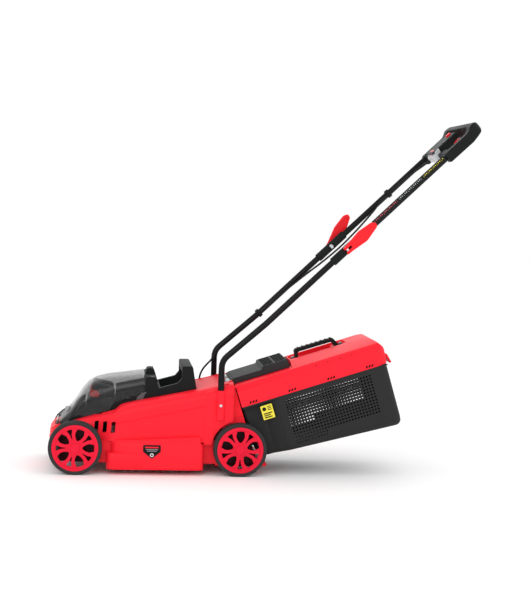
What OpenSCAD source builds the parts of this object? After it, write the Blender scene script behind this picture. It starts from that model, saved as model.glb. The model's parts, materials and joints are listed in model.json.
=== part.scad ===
// Battery push lawn mower, 33 cm class, with a fold-down handle and a rear grass catcher.
// X runs from the front wheels to the handle, Y to the right-hand side, Z up. Units are mm.

/* [Wheels] */
// Distance between the front and the rear axle
wheelbase = 492; // [488:1:498]
// Outer diameter of each tyre
wheel_d = 160; // [156:1:164]
// Width of each tyre
wheel_w = 38; // [34:1:40]
// Overall width across the four wheels
track_w = 390; // [388:1:396]

/* [Cutting] */
// Length of the blade, tip to tip
blade_len = 330; // [300:1:334]
// Height of the blade above the ground
blade_z = 42; // [38:1:48]

/* [Handle] */
// Outer diameter of the steel handle tubes
tube_d = 19; // [18:0.5:20]
// Distance between the left and the right tube axis
tube_gap = 330; // [326:1:332]
// Slope of the handle above the ground, in degrees
handle_angle = 44.1; // [43.5:0.1:44.6]
// Turn of the right clamp lever about its bolt, in degrees
right_lever_turn = 17; // [0:1:20]

/* [Grass catcher] */
// Slope of the catcher, in degrees
catcher_slope = 18; // [17.8:0.1:18.2]
// Length of the catcher along its slope
catcher_len = 460; // [450:1:465]
// Width of the catcher
catcher_w = 336; // [330:1:338]

/* [Hidden] */
$fn = 48;

// Colours
red = [0.90, 0.08, 0.14];
rim_red = [0.82, 0.09, 0.17];
black = [0.13, 0.14, 0.14];
dark_grey = [0.22, 0.22, 0.22];
mid_grey = [0.45, 0.46, 0.46];
steel = [0.75, 0.76, 0.78];
yellow = [0.86, 0.80, 0.27];
smoke = [0.55, 0.55, 0.55, 0.45];

// The work is laid out from the front axle; x_mid moves the origin to the middle of the whole length.
handle_tip_t = 553;
pivot_x = 797;
pivot_z = 689;
x_front = -wheel_d / 2;
x_back = pivot_x + handle_tip_t * cos(handle_angle) + 2.9 * sin(handle_angle);
x_mid = (x_front + x_back) / 2;

// Wheels and axles
wheel_r = wheel_d / 2;
hub_y = track_w / 2 - wheel_w / 2 - 1;
rim_r = wheel_r - 11;
axle_r = 5;
well_y = hub_y - wheel_w / 2 - 3;
well_gap = 6;

// Deck
wall = 4;
skirt_w = 186;
skirt_z = 17;
front_z = 33;
roof_z = 101;
bay_w = 116;
chamber_x = 237;
chamber_r = 172;
// Rail height along the deck, measured at the edge of the black cover: [x, z]
rail = [[-78, 118], [-62, 134], [18, 160], [114, 187], [138, 206], [182, 216], [352, 251], [396, 261],
        [440, 272], [470, 277]];
// Half width along the deck: [x, half width]
flank = [[-78, 92], [-72, 122], [-62, 134], [-45, 142], [62, 148], [92, 160], [112, 168], [470, 168]];

// Catcher and flap frame
slope_x = 496;
slope_z = 206;
lid_low = 66;
lid_high = 85;
rear_gap = 3;

// Handle
tube_r = tube_d / 2;
tube_y = tube_gap / 2;
socket_x = 431;
socket_top = 256;
socket_floor = 182;
bend_z = 346;
bend_r = 46;
kink_x = 560;
kink_z = pivot_z - (pivot_x - kink_x) * tan(handle_angle);
first_angle = atan2(kink_z - bend_z, kink_x - socket_x);
lap = 57;
sleeve_r = 13;
bolt_r = 4;
fit = 0.05;
lever_pin_y = 186.2;
trigger_t = 512;
trigger_n = -9;

// Rear flap
flap_pin_u = -14;
flap_pin_v = 68;
flap_pin_r = 3;
flap_w = 100;

// Cable
cable_r = 3;
cable_x = 383;
cable_y = 128;

// Battery cover
cover_pin_x = -57;
cover_pin_z = 142;

// ---------- helpers ----------
function unit(v) = v / norm(v);

// One corner b between a and c, rounded with the radius b[2]
function corner(a, b, c, n) =
    let (p = [b[0], b[1]], u = unit([a[0], a[1]] - p), v = unit([c[0], c[1]] - p))
    b[2] <= 0 ? [p] :
    let (half = acos(u * v) / 2, mid = p + unit(u + v) * b[2] / sin(half),
         s = p + u * b[2] / tan(half) - mid, e = p + v * b[2] / tan(half) - mid,
         a0 = atan2(s[1], s[0]), turn = (atan2(e[1], e[0]) - a0 + 540) % 360 - 180)
    [for (k = [0 : n]) mid + b[2] * [cos(a0 + turn * k / n), sin(a0 + turn * k / n)]];

// Closed outline through the corners p, each [x, y, radius]
function rounded(p, n = 4) =
    [for (i = [0 : len(p) - 1]) each corner(p[(i + len(p) - 1) % len(p)], p[i], p[(i + 1) % len(p)], n)];

// Outline in X and Z, pushed along Y from y0 to y1
module across(pts, y0, y1) {
    translate([0, y1, 0]) rotate([90, 0, 0]) linear_extrude(y1 - y0) polygon(pts);
}

// Skin through rings of equal length, with point i facing point m - 1 - i across each end
module loft(rings) {
    m = len(rings[0]);
    n = len(rings);
    last = (n - 1) * m;
    ends = [for (i = [0 : m / 2 - 2]) let (j = m - 1 - i)
            each [[i, i + 1, j], [i + 1, j - 1, j],
                  [last + i + 1, last + i, last + j], [last + j - 1, last + i + 1, last + j]]];
    sides = [for (k = [0 : n - 2]) for (i = [0 : m - 1]) let (j = (i + 1) % m)
             each [[k * m + i, (k + 1) * m + i, (k + 1) * m + j], [k * m + i, (k + 1) * m + j, k * m + j]]];
    polyhedron(points = [for (r = rings) each r], faces = concat(ends, sides), convexity = 8);
}

module both_sides() {
    children();
    mirror([0, 1, 0]) children();
}

module place() {
    translate([-x_mid, 0, 0]) children();
}

// Frame of the catcher: X up its slope, Z out of its lid
module slope_frame() {
    translate([slope_x, 0, slope_z]) rotate([0, -catcher_slope, 0]) children();
}

// Frame of the upper handle: X along the tubes from the fold, Z towards the front
module handle_frame() {
    translate([pivot_x, 0, pivot_z]) rotate([0, -handle_angle, 0]) children();
}

module rod(r, y0, y1) {
    translate([0, y0, 0]) rotate([-90, 0, 0]) cylinder(r = r, h = y1 - y0);
}

// Point of the handle frame, given as distance along t, Y, and height n, in the frame of the work
function on_handle(t, y, n) = [pivot_x + t * cos(handle_angle) - n * sin(handle_angle), y,
                               pivot_z + t * sin(handle_angle) + n * cos(handle_angle)];

// ---------- deck ----------
module motor_hole(a) {
    translate([chamber_x, 0, roof_z]) rotate([0, 0, a]) translate([56, 0, 0]) children();
}

// Upper deck: layers that narrow towards the top, each [drop below the rail, inset from the flank]
deck_layers = [[0, 38], [5, 20], [12, 8], [24, 0]];

module deck_upper(t, z_low, x0, x1) {
    for (l = deck_layers) intersection() {
        across(concat([for (r = rail) if (r[0] > x0 && r[0] < x1) r - [0, l[0] + t]],
                      [[x1, lookup(x1, rail) - l[0] - t], [x1, z_low], [x0, z_low],
                       [x0, max(lookup(x0, rail) - l[0] - t, z_low + 1)]]), -200, 200);
        linear_extrude(400) polygon(concat([for (f = flank) [f[0], -f[1] + l[1] + t]],
                                           [for (k = [len(flank) - 1 : -1 : 0]) [flank[k][0], flank[k][1] - l[1] - t]]));
    }
}

module deck_plan(t) {
    front = [[-74 + t, -100 + t, 14], [-50, -138 + t, 12], [40, -well_y + t, 0], [575 - t, -well_y + t, 8],
             [575 - t, well_y - t, 8], [40, well_y - t, 0], [-50, 138 - t, 12], [-74 + t, 100 - t, 14]];
    polygon(rounded(front));
}

module skirt_plan(t) {
    polygon(rounded([[93 + t, -skirt_w + t, 24], [382 - t, -skirt_w + t, 16],
                     [382 - t, skirt_w - t, 16], [93 + t, skirt_w - t, 24]]));
}

// Drum of the blade chamber, which stands out of the skirt's top: [x, half width]
drum = [[106, 158], [113, 168], [125, 174], [145, 179.5], [170, 183.5], [200, 185.5], [225, 186]];

module drum_plan(t) {
    intersection() {
        skirt_plan(t);
        polygon(concat([[106 + t, -148]], [for (d = drum) [d[0] + t, -d[1] + t]], [[400, -186 + t], [400, 186 - t]],
                       [for (k = [len(drum) - 1 : -1 : 0]) [drum[k][0] + t, drum[k][1] - t]], [[106 + t, 148]]));
    }
}

module tunnel(t) {
    across([[300, 40 - t], [400, 40 - t], [446, 98 - t], [540, 98 - t], [540, 246 + t], [470, 246 + t],
            [390, 190 + t], [330, 99 + t], [300, 99 + t]], -105 - t, 105 + t);
}

// The body is cut on the plane that the catcher stands against
module rear_plane(gap) {
    slope_frame() translate([-gap, -300, -150]) cube([400, 600, 400]);
}

module deck_skin() {
    intersection() {
        translate([0, 0, front_z]) linear_extrude(roof_z + wall - front_z) deck_plan(0);
        across([[-90, 100], [-74, 48], [-60, front_z], [500, front_z], [500, 200], [-90, 200]], -300, 300);
    }
    across([[420, 27], [575, 27], [575, 36], [546, 46], [524, 110], [420, 110]], -well_y, well_y);
    translate([0, 0, skirt_z]) linear_extrude(66 - skirt_z) skirt_plan(0);
    difference() {
        translate([0, 0, skirt_z]) linear_extrude(118 - skirt_z) drum_plan(0);
        across([[80, 102], [120, 103], [370, 117], [374, 94], [400, 92], [400, 130], [80, 130]], -300, 300);
    }
    deck_upper(0, roof_z - 2, -78, 470);
    across([[380, 60], [530, 60], [530, 240], [470, 282], [440, 272], [380, 240]], -148, 148);
    both_sides() across([[384, 92], [412, 92], [412, 257], [384, 250]], 160, 170);
}

module deck_hollows() {
    translate([chamber_x, 0, -1]) cylinder(r = chamber_r, h = roof_z + 1);
    translate([0, 0, -1]) linear_extrude(63) skirt_plan(wall);
    intersection() {
        translate([0, 0, -1]) linear_extrude(roof_z) drum_plan(wall);
        across([[90, -2], [400, -2], [400, 87], [372, 88], [366, 120], [90, 120]], -200, 200);
    }
    difference() {
        translate([0, 0, -1]) linear_extrude(roof_z + 1) intersection() {
            deck_plan(wall);
            translate([-100, -200]) square([165, 400]);
        }
        translate([chamber_x, 0, -2]) cylinder(r = chamber_r + wall, h = 200);
    }
    across([[-46, 120], [-46, 300], [362, 300], [362, 200]], -bay_w, bay_w);
    tunnel(0);
    both_sides() across([[410, -1], [571, -1], [571, 31], [541, 42], [520, 92], [410, 92]], 109, 149);
    across([[418, -1], [571, -1], [571, 31], [541, 42], [520, 90], [449, 90]], -105, 105);
    for (s = [-1, 1]) for (x = [0, wheelbase]) translate([x, s * (well_y + 100), wheel_r])
        rotate([90, 0, 0]) cylinder(r = wheel_r + well_gap, h = 200, center = true);
    for (x = [62, 87, 112]) both_sides() across([[x - 7, 123], [x + 5, 125], [x + 7, 158], [x - 5, 156]], 120, 200);
    both_sides() translate([socket_x, tube_y, socket_floor]) cylinder(r = tube_r + fit, h = 100);
    both_sides() translate([socket_x, 0, 212]) rod(3.1, 140, 200);
    for (x = [0, wheelbase]) translate([x, 0, wheel_r]) rod(axle_r + fit, -170, 170);
    for (s = [-1, 1]) slope_frame() translate([-16, s * 131 - 19.5, 59.5]) cube([40, 39, 40]);
    slope_frame() translate([-30, -101, 60]) cube([50, 202, 60]);
    slope_frame() translate([flap_pin_u, 0, flap_pin_v]) rod(flap_pin_r + fit, -113, 113);
    translate([chamber_x, 0, 60]) cylinder(r = 30, h = 80);
    for (a = [45 : 90 : 315]) motor_hole(a) cylinder(r = 2.6, h = 80, center = true);
    translate([cable_x, cable_y, 200]) cylinder(r = cable_r + 0.5, h = 80);
}

module deck_body() {
    difference() {
        deck_skin();
        deck_upper(wall, roof_z + wall, -74, 440);
        both_sides() across([[420, 96], [512, 96], [512, 230], [470, 276], [440, 268], [420, 240]], 109, 144);
        across([[400, 200], [512, 230], [512, 230], [470, 276], [400, 258]], -144, 144);
    }
    intersection() {
        deck_skin();
        tunnel(wall);
    }
    intersection() {
        deck_skin();
        slope_frame() union() {
            both_sides() translate([-30, 101, 54]) cube([27, 15, 40]);
            translate([-34, -105, 50]) cube([31, 210, 10]);
            translate([-34, -105, 50]) cube([4, 210, 60]);
        }
    }
    both_sides() translate([socket_x, tube_y, 172]) cylinder(r = 13.5, h = socket_top - 172);
}

module deck_housing() {
    color(red) place() difference() {
        deck_body();
        rear_plane(rear_gap);
        deck_hollows();
    }
}

// ---------- black top cover with the battery bays and the carry handle ----------
cover_outline = [[-44, 116, 4], [-44, 141, 3], [98, 183, 6], [112, 205, 4], [206, 240, 2], [206, 288, 6],
                 [236, 288, 8], [247, 254, 2], [304, 270, 12], [316, 284, 6], [316, 322, 5], [348, 322, 6],
                 [361, 250, 2], [361, 214, 4], [190, 178, 4], [110, 148, 4], [0, 116, 4]];
cover_hollow = [[-40, 90], [-40, 137], [97, 179], [111, 201], [150, 214], [246, 214], [320, 233], [345, 247],
                [357, 240], [357, 90]];
battery_y = 46;

// Frame of one battery, leaning back 13 degrees
module battery_frame(side) {
    translate([58, side * battery_y, 158]) rotate([0, 13, 0]) children();
}

module battery_block(gap, bottom) {
    translate([-31 - gap, -37 - gap, -30 - bottom]) cube([70 + 2 * gap, 74 + 2 * gap, 80 + bottom]);
}

module cover_screw_places() {
    for (x = [-30, 226]) both_sides() translate([x, 104, lookup(x, [[-30, 145], [226, 288]])]) children();
}

module top_cover() {
    color(black) place() difference() {
        union() {
            difference() {
                across(rounded(cover_outline), -bay_w + 0.4, bay_w - 0.4);
                across(cover_hollow, -bay_w + 4, bay_w - 4);
            }
            across([[-26, 142], [-10, 176], [-2, 190], [26, 208], [26, 150]], -92, 92);
            across([[116, 190], [120, 244], [206.4, 262], [206.4, 200]], -92, 92);
            for (s = [-1, 1]) battery_frame(s) battery_block(4, 3);
            both_sides() across([[-38, 136.5], [-44, 140.2], [-61, 136.5], [-62, 143.5], [-59, 146], [-55.5, 146],
                                 [-53, 144], [-53, 141], [-38, 141]], 74, 82);
        }
        across(rounded([[252, 232, 8], [320, 246, 10], [345, 258, 8], [366, 266, 0], [366, 302, 0], [310, 302, 12],
                        [300, 330, 0], [252, 330, 0]]), -96, 96);
        across([[209.5, 259], [209.5, 330], [262, 330], [262, 259]], -32, 32);
        for (s = [-1, 1]) battery_frame(s) {
            battery_block(0.4, 0);
            translate([-31.4, -37.4, 0]) cube([70.8, 74.8, 200]);
        }
        translate([cover_pin_x, 0, cover_pin_z]) rod(2 + fit, -90, 90);
        cover_screw_places() translate([0, 0, -30]) cylinder(r = 2.2, h = 60);
        cover_screw_places() translate([0, 0, -2.5]) cylinder(r = 4.5, h = 10);
    }
}

module cover_screws() {
    color(steel) place() cover_screw_places() {
        translate([0, 0, -2.4]) cylinder(r = 4, h = 2.4);
        translate([0, 0, -24]) cylinder(r = 2, h = 22);
    }
}

module cover_hinge_pin() {
    color(steel) place() translate([cover_pin_x, 0, cover_pin_z]) rod(2, -84, 84);
}

// ---------- batteries ----------
module battery(side) {
    color(dark_grey) place() battery_frame(side) difference() {
        union() {
            translate([-31, -37, -30]) cube([70, 74, 100]);
            across(rounded([[-31, 60, 0], [-31, 100, 8], [30, 100, 10], [39, 84, 6], [39, 60, 0]]), -34, 34);
        }
        translate([-32, -15, 62]) cube([6, 30, 22]);
    }
}
module battery_left() { battery(-1); }
module battery_right() { battery(1); }

module battery_button(side) {
    color(red) place() battery_frame(side) translate([-33, -14.5, 62.5]) cube([5, 29, 21]);
}
module battery_button_left() { battery_button(-1); }
module battery_button_right() { battery_button(1); }

// Hood over the batteries: crown height, lower edge and half width along X
hood_top = [[-52, 147], [-16, 181], [4, 214], [19, 240], [35, 263], [58, 274], [91, 281], [161, 289], [205, 295]];
hood_edge = [[-52, 141.5], [-44, 142], [98, 184.5], [112, 206.5], [205, 240.4]];
hood_half = [[-52, 100], [-40, 108], [-16, 112], [205, 112]];
hood_stations = [-52, -46, -40, -28, -16, 4, 19, 35, 58, 91, 98, 112, 161, 205];

function hood_arch(x, t) =
    let (w = lookup(x, hood_half) - t, low = lookup(x, hood_edge), h = lookup(x, hood_top) - low - t)
    [for (k = [0 : 16]) let (a = 180 * k / 16)
     [x, w * sign(cos(a)) * pow(abs(cos(a)), 0.45), low + h * pow(sin(a), 0.45)]];

module battery_cover() {
    color(smoke) place() difference() {
        union() {
            loft([for (x = hood_stations) concat(hood_arch(x, 0), [for (k = [16 : -1 : 0]) hood_arch(x, 2.6)[k]])]);
            both_sides() across([[-57, 147], [-61.5, 143], [-59, 138.5], [-44, 143], [-40, 152], [-48, 152]], 62, 73);
            across(rounded([[-36, 160, 0], [-36, 180, 2], [-22, 180, 2], [-22, 174, 0]]), -9, 9);
        }
        translate([cover_pin_x, 0, cover_pin_z]) rod(2 + fit, -90, 90);
    }
}

module cover_latch() {
    color(black) place() across(rounded([[210, 262, 2], [210, 301, 4], [216, 305, 4], [232, 304, 6], [238, 290, 4],
                                         [247, 262, 2]]), -31.5, 31.5);
}

// ---------- drive ----------
module motor() {
    color(dark_grey) place() translate([chamber_x, 0, 0]) difference() {
        union() {
            translate([0, 0, roof_z + wall + 0.2]) cylinder(r = 62, h = 5);
            translate([0, 0, roof_z - 8]) cylinder(r = 29.6, h = 20);
            translate([0, 0, roof_z + 9]) cylinder(r = 43, h = 80);
        }
        translate([0, 0, 60]) cylinder(r = 6 + fit, h = 118);
        for (a = [45 : 90 : 315]) rotate([0, 0, a]) translate([56, 0, 90]) cylinder(r = 2.6, h = 40);
    }
}

module motor_screws() {
    color(steel) place() for (a = [45 : 90 : 315]) motor_hole(a) {
        translate([0, 0, -8]) cylinder(r = 2.5, h = 18);
        translate([0, 0, wall + 5.2]) cylinder(r = 4.5, h = 3, $fn = 6);
    }
}

module controller_box() {
    color(mid_grey) place() translate([128, -42, roof_z + wall + 0.2]) cube([45, 84, 38]);
}

module blade_carrier() {
    color(black) place() translate([chamber_x, 0, blade_z]) difference() {
        union() {
            translate([0, 0, 2]) cylinder(r = 27, h = 12);
            translate([0, 0, 10]) cylinder(r = 14, h = 30);
            translate([0, 0, 20]) cylinder(r = 6, h = 175 - blade_z - 20);
            for (a = [0 : 45 : 315]) rotate([0, 0, a]) translate([12, -1.2, 12]) cube([46, 2.4, 22]);
            translate([0, 0, 12]) cylinder(r = 58, h = 2.5);
        }
        translate([0, 0, -1]) cylinder(r = 4 + fit, h = 26);
    }
}

module blade() {
    color(steel) place() translate([chamber_x, 0, blade_z]) difference() {
        rotate([0, 0, 60]) union() {
            translate([-blade_len / 2, -22, -1.5]) cube([blade_len, 44, 3]);
            for (a = [0, 180]) rotate([0, 0, a]) translate([95, 0, 0])
                across([[0, 0], [44, 0], [44, 13], [40, 13], [0, 1.4]], 12, 22);
        }
        cylinder(r = 4 + fit, h = 10, center = true);
    }
}

module blade_bolt() {
    color(steel) place() translate([chamber_x, 0, blade_z]) {
        translate([0, 0, -9]) cylinder(r = 9, h = 7, $fn = 6);
        translate([0, 0, -2.6]) cylinder(r = 14, h = 1);
        translate([0, 0, -2]) cylinder(r = 4, h = 24);
    }
}

// ---------- wheels ----------
// One wheel's frame: the hub's centre, Z outwards
module wheel_frame(x, side) {
    translate([x, side * hub_y, wheel_r]) rotate([-90 * side, 0, 0]) children();
}

module rim_windows() {
    for (a = [0 : 72 : 288]) rotate(a) {
        polygon(rounded([[22.5, -3, 2], [31, -9.5, 6], [42, -13.5, 8], [57, -10.5, 4], [57, 10.5, 4], [42, 13.5, 8],
                         [31, 9.5, 6], [22.5, 3, 2]]));
        rotate(36) polygon(rounded([[27, -0.9, 0.5], [42, -3, 2], [56.5, -9.5, 3], [56.5, 9.5, 3], [42, 3, 2],
                                    [27, 0.9, 0.5]]));
    }
}

module rim(x, side, turn) {
    color(rim_red) place() wheel_frame(x, side) rotate(turn) difference() {
        union() {
            translate([0, 0, -17]) difference() {
                cylinder(r = rim_r, h = 34);
                translate([0, 0, -1]) cylinder(r = rim_r - 5, h = 40);
            }
            translate([0, 0, 9]) linear_extrude(6) difference() {
                circle(r = rim_r - 1);
                rim_windows();
            }
            translate([0, 0, 10]) difference() {
                cylinder(r = rim_r, h = 7.5);
                translate([0, 0, 3]) cylinder(r1 = rim_r - 11, r2 = rim_r - 8, h = 6);
                linear_extrude(8, center = true) rim_windows();
                translate([0, 0, -1]) cylinder(r = rim_r - 11, h = 9);
            }
            translate([0, 0, -17]) cylinder(r = 12, h = 30);
            translate([0, 0, 8]) cylinder(r = 21, h = 9);
        }
        translate([0, 0, -40]) cylinder(r = axle_r + fit, h = 80);
        translate([0, 0, 11]) cylinder(r = 14.4, h = 20);
    }
}

module tyre(x, side) {
    color(dark_grey) place() wheel_frame(x, side) rotate_extrude($fn = 96)
        polygon(rounded([[rim_r + 0.05, -16, 0], [rim_r + 4, -wheel_w / 2, 3], [wheel_r, -wheel_w / 2, 6],
                         [wheel_r, wheel_w / 2, 6], [rim_r + 4, wheel_w / 2, 3], [rim_r + 0.05, 16, 0]]));
}

module cap(x, side) {
    color(rim_red) place() wheel_frame(x, side) difference() {
        translate([0, 0, 11.2]) cylinder(r = 14.3, h = 8.8);
        translate([0, 0, 10]) cylinder(r = 10, h = 7);
    }
}
module rim_front_left() { rim(0, -1, 0); }
module rim_front_right() { rim(0, 1, 0); }
module rim_rear_left() { rim(wheelbase, -1, 90); }
module rim_rear_right() { rim(wheelbase, 1, 90); }
module tyre_front_left() { tyre(0, -1); }
module tyre_front_right() { tyre(0, 1); }
module tyre_rear_left() { tyre(wheelbase, -1); }
module tyre_rear_right() { tyre(wheelbase, 1); }
module cap_front_left() { cap(0, -1); }
module cap_front_right() { cap(0, 1); }
module cap_rear_left() { cap(wheelbase, -1); }
module cap_rear_right() { cap(wheelbase, 1); }

module axle(x) {
    color(steel) place() translate([x, 0, wheel_r]) rod(axle_r, -hub_y - 12, hub_y + 12);
}
module front_axle() { axle(0); }
module rear_axle() { axle(wheelbase); }

module axle_nuts() {
    color(steel) place() for (x = [0, wheelbase]) for (s = [-1, 1]) wheel_frame(x, s) difference() {
        translate([0, 0, 11.4]) cylinder(r = 8, h = 5, $fn = 6);
        cylinder(r = axle_r + 0.02, h = 40, center = true);
    }
}

module axle_brackets() {
    color(steel) place() {
        both_sides() bracket(0, 127, 138);
        both_sides() bracket(wheelbase, 137, 148.5);
    }
}

module bracket(x, y0, y1) {
    difference() {
        translate([x - 20, y0, wheel_r - 22]) cube([40, y1 - y0, 33]);
        translate([x, 0, wheel_r]) rod(axle_r + fit, y0 - 5, y1 + 5);
    }
}

// ---------- lower handle ----------
module tube_section() {
    difference() {
        circle(r = tube_r);
        circle(r = tube_r - 1.5);
    }
}

// Tube through the points p, each [x, z], with mitred corners
module mitred_tube(p, sides = 24) {
    m = len(p);
    way = [for (i = [0 : m - 2]) atan2(p[i + 1][1] - p[i][1], p[i + 1][0] - p[i][0])];
    rings = [for (r = [tube_r - 0.1, tube_r - 1.6]) for (i = [0 : m - 1])
             let (a = way[max(i - 1, 0)], b = way[min(i, m - 2)], w = (a + b) / 2, g = r / cos((b - a) / 2))
             for (k = [0 : sides - 1])
             [p[i][0] - g * sin(w) * sin(360 * k / sides), tube_y + r * cos(360 * k / sides),
              p[i][1] + g * cos(w) * sin(360 * k / sides)]];
    inner = m * sides;
    end = (m - 1) * sides;
    faces = [for (k = [0 : sides - 1]) let (j = (k + 1) % sides) each concat(
             [for (i = [0 : m - 2]) let (q = i * sides) [q + j, q + k, q + sides + k, q + sides + j]],
             [for (i = [0 : m - 2]) let (q = inner + i * sides) [q + k, q + j, q + sides + j, q + sides + k]],
             [[k, j, inner + j, inner + k], [end + j, end + k, inner + end + k, inner + end + j]])];
    polyhedron(points = rings, faces = faces, convexity = 6);
}

// Points along the tube from the deck socket to the start of the fold's lap
bend_tangent = bend_r * tan((90 - first_angle) / 2);
lower_path = concat([[socket_x, socket_floor + 0.5]],
                    [for (k = [0 : 4]) let (a = 180 - (90 - first_angle) * k / 4)
                     [socket_x + bend_r + bend_r * cos(a), bend_z - bend_tangent + bend_r * sin(a)]],
                    [[kink_x, kink_z],
                     [pivot_x - lap * cos(handle_angle), pivot_z - lap * sin(handle_angle)]]);

// The part of a tube end that laps the other tube: outer half for side = 1, inner half for side = -1
module lap_half(side, r, root = 0) {
    trim = r > tube_r ? 2.2 : 1;
    start = side > 0 ? -lap - root : trim - lap;
    end = side > 0 ? lap - trim : lap;
    handle_frame() translate([start, tube_y, 0]) intersection() {
        rotate([0, 90, 0]) cylinder(r = r, h = end - start);
        translate([-1, side > 0 ? 0.15 : -40.15, -40]) cube([2 * lap + 12, 40, 80]);
    }
}

module pivot_hole() {
    handle_frame() rod(bolt_r + fit, 100, 220);
}

module lower_tube() {
    color(black) place() difference() {
        union() {
            mitred_tube(lower_path);
            difference() {
                lap_half(1, tube_r, 3);
                pivot_hole();
            }
        }
        translate([socket_x, 0, 212]) rod(3.1, 140, 200);
    }
}
module lower_tube_right() { lower_tube(); }
module lower_tube_left() { mirror([0, 1, 0]) lower_tube(); }

module half_sleeve(side) {
    difference() {
        lap_half(side, sleeve_r);
        handle_frame() translate([-lap - 1, tube_y, 0]) rotate([0, 90, 0]) cylinder(r = tube_r + 0.05, h = 2 * lap + 2);
        pivot_hole();
    }
}
module lower_sleeves() { color(black) place() both_sides() half_sleeve(1); }
module upper_sleeves() { color(black) place() both_sides() half_sleeve(-1); }

module socket_screws() {
    color(steel) place() both_sides() translate([socket_x, 0, 212]) {
        rod(3, 150, 179);
        translate([0, 178.7, 0]) rotate([-90, 0, 0]) cylinder(r1 = 5.5, r2 = 4, h = 2.8);
    }
}

// ---------- fold joints and clamp levers ----------
module lever_frame(turn) {
    handle_frame() rotate([0, -turn, 0]) children();
}

module pivot_bolt(turn) {
    handle_frame() {
        rod(bolt_r, 147, 178);
        translate([0, 146, 0]) rotate([-90, 0, 0]) cylinder(r1 = 5, r2 = 7, h = 5.6);
    }
    lever_frame(turn) difference() {
        union() {
            translate([0, lever_pin_y, -3.2]) cylinder(r = 5, h = 6.4);
            translate([-2.3, 176.5, -3.1]) cube([4.6, 8.5, 6.2]);
        }
        translate([0, lever_pin_y, -5]) cylinder(r = 2.5 + fit, h = 10);
    }
}

module pivot_bolts() {
    color(steel) place() {
        pivot_bolt(right_lever_turn);
        mirror([0, 1, 0]) pivot_bolt(0);
    }
}

module lever_pins() {
    color(steel) place() {
        lever_frame(right_lever_turn) translate([0, lever_pin_y, -11]) cylinder(r = 2.5, h = 22);
        lever_frame(0) translate([0, -lever_pin_y, -11]) cylinder(r = 2.5, h = 22);
    }
}

module lever(turn) {
    leaf = rounded([[-2, -12, 4], [10, -13, 10], [62, -20, 34], [112, -9, 10], [118, 3, 7], [106, 13, 14],
                    [60, 19, 34], [10, 13, 10], [-2, 12, 4]], 6);
    lever_frame(turn) difference() {
        union() {
            across(leaf, 182, 190.5);
            translate([0, lever_pin_y, -12]) cylinder(r = 7.9, h = 24);
        }
        translate([-12, 170, -3.7]) cube([28, 40, 7.4]);
        translate([0, lever_pin_y, -14]) cylinder(r = 2.5 + fit, h = 28);
        across(rounded([[26, -9, 4], [62, -15, 28], [108, -6, 6], [110, 4, 4], [60, 14, 28], [26, 9, 4]], 6), 180, 186);
    }
}
module lever_left() { color(red) place() mirror([0, 1, 0]) lever(0); }
module lever_right() { color(red) place() lever(right_lever_turn); }

// ---------- cable ----------
lower_route = [[cable_x, cable_y, 238], [cable_x, cable_y, 258], [386, 130, 273], [394, 134, 289], [406, 140, 303],
               [420, 147, 317], [430, 151, 332], [440, 151.5, 352], [456, 151.5, 369], [490, 151.5, 399],
               on_handle(-316, 151.5, 0), on_handle(-200, 151, -4), on_handle(-120, 150.5, -10),
               on_handle(-58, 149, -16), on_handle(-0.2, 147, -19)];
upper_route = [on_handle(0.2, 147, -19), on_handle(45, 148, -19), on_handle(112, 150, -15), on_handle(175, 151, -8),
               on_handle(208, 151.5, -2), on_handle(250, 151.5, 0), on_handle(290, 148, 1), on_handle(335, 122, 1),
               on_handle(375, 82, 0), on_handle(398, 54, 0), on_handle(408, 46, 0)];

function spline(p, i, u) =
    let (n = len(p) - 1, a = p[max(i - 1, 0)], b = p[i], c = p[i + 1], d = p[min(i + 2, n)])
    0.5 * ((2 * b) + (c - a) * u + (2 * a - 5 * b + 4 * c - d) * u * u + (3 * b - a - 3 * c + d) * u * u * u);

function route_points(p, step) =
    [for (i = [0 : len(p) - 2]) let (n = max(1, round(norm(p[i + 1] - p[i]) / step)))
     for (k = [0 : n - (i == len(p) - 2 ? 0 : 1)]) spline(p, i, k / n)];

// Round cord along a route
module cord(route, step) {
    q = route_points(route, step);
    n = len(q) - 1;
    loft([for (i = [0 : n])
          let (d = unit(q[min(i + 1, n)] - q[max(i - 1, 0)]), s = unit(cross(d, [0, 1, 0])), w = cross(s, d))
          [for (k = [0 : 7]) q[i] + cable_r * (cos(45 * k) * s + sin(45 * k) * w)]]);
}
module lower_cable() { color(black) place() cord(lower_route, 16); }
module upper_cable() { color(black) place() cord(upper_route, 16); }

// Clip that ties the cable to a tube, at the distance t along the handle
module cable_clip(t) {
    color(black) place() handle_frame() translate([t, 0, 0]) difference() {
        translate([-6, 0, 0]) rotate([90, 0, 90]) linear_extrude(12)
            polygon(rounded([[145, -6, 4], [156, -13, 5], [178, -13, 6], [178, 13, 6], [156, 13, 5], [145, 6, 4]]));
        translate([0, tube_y, 0]) rotate([0, 90, 0]) cylinder(r = tube_r + 0.05, h = 20, center = true);
        translate([0, 151.5, 0]) rotate([0, 90, 0]) cylinder(r = cable_r + 0.2, h = 20, center = true);
    }
}
module lower_cable_clip() { cable_clip(-316); }
module upper_cable_clip() { cable_clip(250); }

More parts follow.
